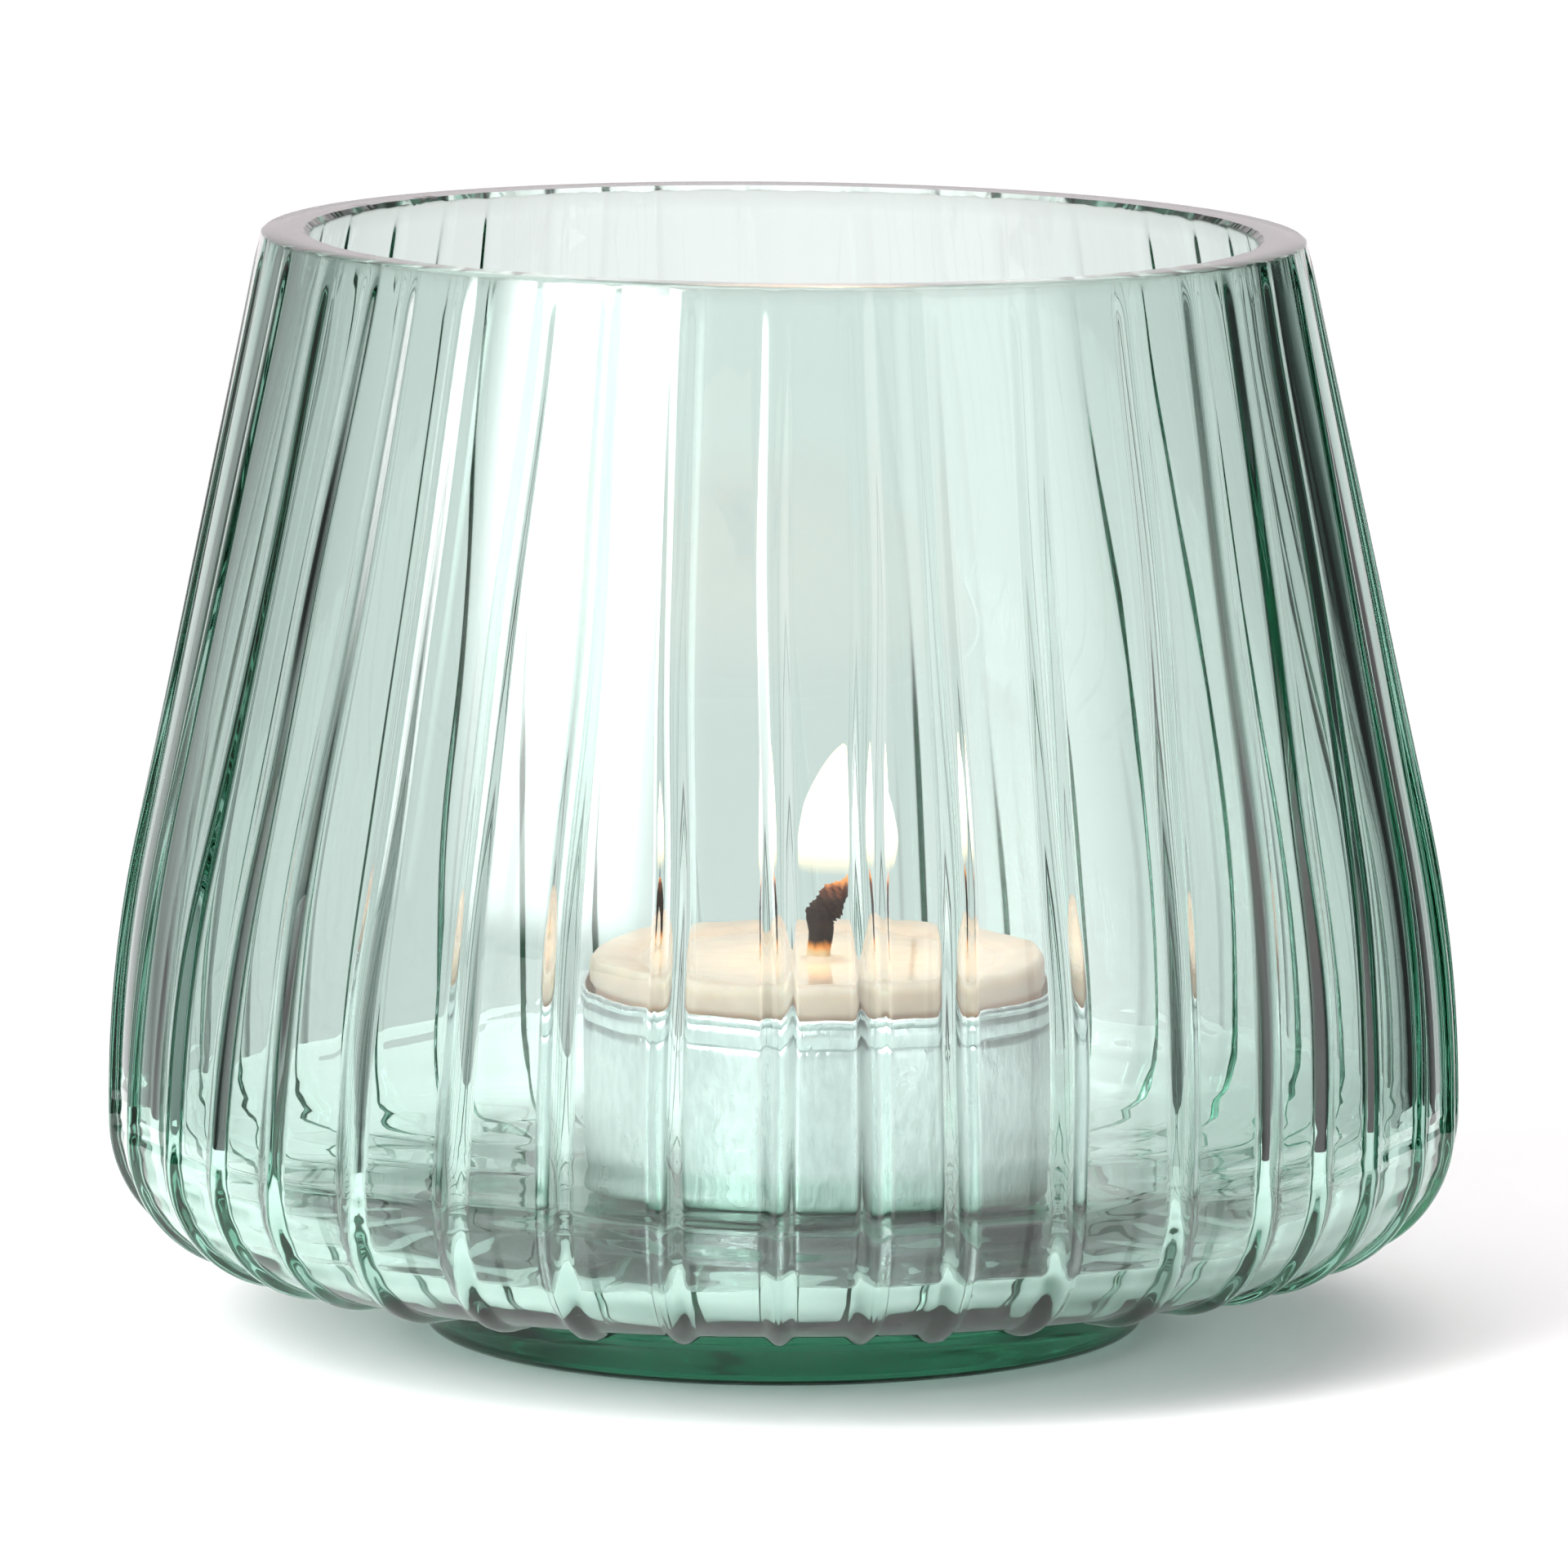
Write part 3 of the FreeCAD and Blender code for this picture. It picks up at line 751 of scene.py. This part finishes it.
def tinplate_material():
    """Thin tinned steel with fine rolling marks."""
    material, tree, shader = new_material("tinplate")
    marks = noise(tree, object_point(tree), 900.0, 3.0, (1.0, 0.08, 1.0))
    shader.inputs["Metallic"].default_value = 1.0
    link(tree, ramp(tree, marks, TIN_COLOURS), shader.inputs["Base Color"])
    link(tree, fit_range(tree, marks, 0.3, 0.7, 0.25, 0.45), shader.inputs["Roughness"])
    bump(tree, shader, marks, 0.2, 0.0001)
    return material


def give(piece, material):
    piece.data.materials.clear()
    piece.data.materials.append(material)


# ---------------------------------------------------------------- stage, light and camera

# The stage, the lights and the camera are in metres
FLOOR_RADIUS = 0.14
FLOOR_DROP = 0.0003         # the floor lies this far under the foot

ROOM_GREY = 0.03
STUDIO_TINT = (1.0, 0.93, 0.955)
# Soft white panels round the object: azimuth from the front and half-width in degrees, then strength
PANELS = ((180.0, 25.0, 1.12), (45.0, 16.0, 2.6), (-5.0, 36.0, 0.6), (-33.0, 13.0, 2.4),
          (-135.0, 12.0, 0.5), (-90.0, 12.0, 0.45))
PANEL_FADE = (8.0, -6.0)    # degrees past its half-width where a panel starts, and where it is full
CEILING = (0.55, 0.8)       # upward share of a direction where the bright ceiling starts, and is full
BACKDROP_LIGHT = 1.05

SOFTBOX_LIGHT = 17.0
SOFTBOX_PLACE = (-0.423, -0.453, 0.40)
SOFTBOX_WIDTH = 0.58
SOFTBOX_AIM = (0.0, 0.0, 0.06)
# Fading of the softbox towards its edges: direction, and share of its width
SOFTBOX_FADES = (((1.0, 0.0, 0.0), 0.28), ((0.0, 1.0, 0.0), 0.2))
TOP_LIGHT_PLACE = (0.1, 0.1, 0.9)
TOP_LIGHT_WIDTH = 0.8
TOP_LIGHT_WATTS = 3.0
TOP_LIGHT_AIM = (0.0, 0.0, 0.045)
CANDLE_WATTS = 0.006

CAMERA_PLACE = (0.0, -0.989, 0.1858)
CAMERA_DOWN = 8.266         # degrees below level
LENS = 296.7


def bearing(azimuth):
    """Level direction at an azimuth from the front, positive to the right."""
    turn = math.radians(azimuth)
    return math.sin(turn), -math.cos(turn), 0.0


def combine(tree, operation, first, second):
    node = add(tree, "ShaderNodeMath", operation=operation)
    for value, socket in zip((first, second), node.inputs):
        if isinstance(value, float):
            socket.default_value = value
        else:
            link(tree, value, socket)
    return node.outputs[0]


def along(tree, vector, direction):
    """How far a vector reaches in a direction."""
    node = add(tree, "ShaderNodeVectorMath", {1: direction}, operation="DOT_PRODUCT")
    link(tree, vector, node.inputs[0])
    return node.outputs["Value"]


def panel_light(tree, direction):
    """Strength of the white panels in a direction, whatever its slope."""
    flat = add(tree, "ShaderNodeVectorMath", {1: (1.0, 1.0, 0.0)}, operation="MULTIPLY")
    unit = add(tree, "ShaderNodeVectorMath", operation="NORMALIZE")
    link(tree, direction, flat.inputs[0])
    link(tree, flat.outputs["Vector"], unit.inputs[0])
    total = ROOM_GREY
    for azimuth, half_width, strength in PANELS:
        edge = math.cos(math.radians(half_width + PANEL_FADE[0]))
        full = math.cos(math.radians(half_width + PANEL_FADE[1]))
        facing = along(tree, unit.outputs["Vector"], bearing(azimuth))
        total = combine(tree, "MAXIMUM", total, fit_range(tree, facing, edge, full, 0.0, strength))
    return total


def build_floor():
    """Plain white floor, the same to the camera, through the glass and in its reflections."""
    bpy.ops.mesh.primitive_circle_add(
        vertices=192, radius=FLOOR_RADIUS, fill_type="NGON", location=(0, 0, -FLOOR_DROP))
    floor = bpy.context.object
    floor.name = "floor"
    material, _, shader = new_material("floor")
    shader.inputs["Base Color"].default_value = (0.8, 0.8, 0.8, 1.0)
    shader.inputs["Roughness"].default_value = 0.9
    shader.inputs["Specular IOR Level"].default_value = 0.0
    give(floor, material)


def build_world():
    """White studio: plain white to the camera, and a dark room with tall white panels to all else."""
    world = bpy.data.worlds.new("studio")
    bpy.context.scene.world = world
    world.use_nodes = True
    tree = world.node_tree
    backdrop = tree.nodes["Background"]
    backdrop.inputs["Color"].default_value = (1.0, 1.0, 1.0, 1.0)
    backdrop.inputs["Strength"].default_value = BACKDROP_LIGHT
    tent = add(tree, "ShaderNodeBackground", {"Color": (*STUDIO_TINT, 1.0)})
    direction = add(tree, "ShaderNodeTexCoord").outputs["Generated"]
    ceiling = fit_range(tree, along(tree, direction, (0.0, 0.0, 1.0)), *CEILING)
    link(tree, combine(tree, "MAXIMUM", panel_light(tree, direction), ceiling), tent.inputs["Strength"])
    path = add(tree, "ShaderNodeLightPath")
    mix = add(tree, "ShaderNodeMixShader")
    link(tree, path.outputs["Is Camera Ray"], mix.inputs[0])
    link(tree, tent.outputs[0], mix.inputs[1])
    link(tree, backdrop.outputs[0], mix.inputs[2])
    link(tree, mix.outputs[0], tree.nodes["World Output"].inputs["Surface"])


def build_top_light():
    light = bpy.data.lights.new("softbox_top", "AREA")
    light.shape = "RECTANGLE"
    light.size = TOP_LIGHT_WIDTH
    light.size_y = TOP_LIGHT_WIDTH
    light.energy = TOP_LIGHT_WATTS
    box = bpy.data.objects.new("softbox_top", light)
    bpy.context.scene.collection.objects.link(box)
    box.location = TOP_LIGHT_PLACE
    towards = Vector(TOP_LIGHT_AIM) - Vector(TOP_LIGHT_PLACE)
    box.rotation_euler = towards.to_track_quat("-Z", "Y").to_euler()
    box.visible_camera = False


def build_softbox():
    """Large light at the front left, bright in its middle and fading to its edges."""
    place = Vector(SOFTBOX_PLACE)
    bpy.ops.mesh.primitive_plane_add(size=1.0, location=place)
    box = bpy.context.object
    box.name = "softbox"
    box.scale = (SOFTBOX_WIDTH, SOFTBOX_WIDTH, 1.0)
    box.rotation_euler = (place - Vector(SOFTBOX_AIM)).to_track_quat("Z", "Y").to_euler()
    material, tree, shader = new_material("softbox")
    shader.inputs["Base Color"].default_value = (0.0, 0.0, 0.0, 1.0)
    shader.inputs["Specular IOR Level"].default_value = 0.0
    shader.inputs["Emission Color"].default_value = (1.0, 1.0, 1.0, 1.0)
    point = object_point(tree)
    level = SOFTBOX_LIGHT
    for direction, soft in SOFTBOX_FADES:
        aside = combine(tree, "ABSOLUTE", along(tree, point, direction), 0.0)
        edge = {"From Min": 0.5, "From Max": 0.5 - soft}
        fall = add(tree, "ShaderNodeMapRange", edge, interpolation_type="SMOOTHSTEP")
        link(tree, aside, fall.inputs["Value"])
        level = combine(tree, "MULTIPLY", level, fall.outputs["Result"])
    link(tree, level, shader.inputs["Emission Strength"])
    give(box, material)
    box.visible_camera = False


def build_lights(flame):
    build_softbox()
    build_top_light()
    light = bpy.data.lights.new("candlelight", "POINT")
    light.energy = CANDLE_WATTS
    light.color = (1.0, 0.62, 0.32)
    light.shadow_soft_size = 0.003
    candle = bpy.data.objects.new("candlelight", light)
    bpy.context.scene.collection.objects.link(candle)
    candle.location = ((TEALIGHT_X + 2.0) * MM, 0.0, (FLAME_LOW + 6.0) * MM)
    candle.parent = flame
    candle.visible_glossy = False
    candle.visible_transmission = False
    flame.visible_glossy = False


def build_camera():
    """At the front, a metre away and a little above, with a long lens."""
    camera = bpy.data.cameras.new("camera")
    camera.lens = LENS
    camera.sensor_width = 36.0
    camera.clip_start = 0.01
    holder = bpy.data.objects.new("camera", camera)
    bpy.context.scene.collection.objects.link(holder)
    holder.location = CAMERA_PLACE
    holder.rotation_euler = (math.radians(90.0 - CAMERA_DOWN), 0.0, 0.0)
    bpy.context.scene.camera = holder


def colours_and_bounces():
    """Plain colours, and enough light bounces for clear glass."""
    scene = bpy.context.scene
    scene.view_settings.view_transform = "Standard"
    scene.cycles.max_bounces = 24
    scene.cycles.transmission_bounces = 20
    scene.cycles.glossy_bounces = 14
    scene.cycles.transparent_max_bounces = 16


glass = build_glass()
cup = build_cup()
wax = build_wax()
wick = build_wick()
flame = build_flame()
give(glass, glass_material())
give(cup, cup_material())
give(wax, wax_material())
give(wick, wick_material())
give(flame, flame_material())
give(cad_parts["wick_sustainer"], tinplate_material())
build_floor()
build_world()
build_lights(flame)
build_camera()
colours_and_bounces()
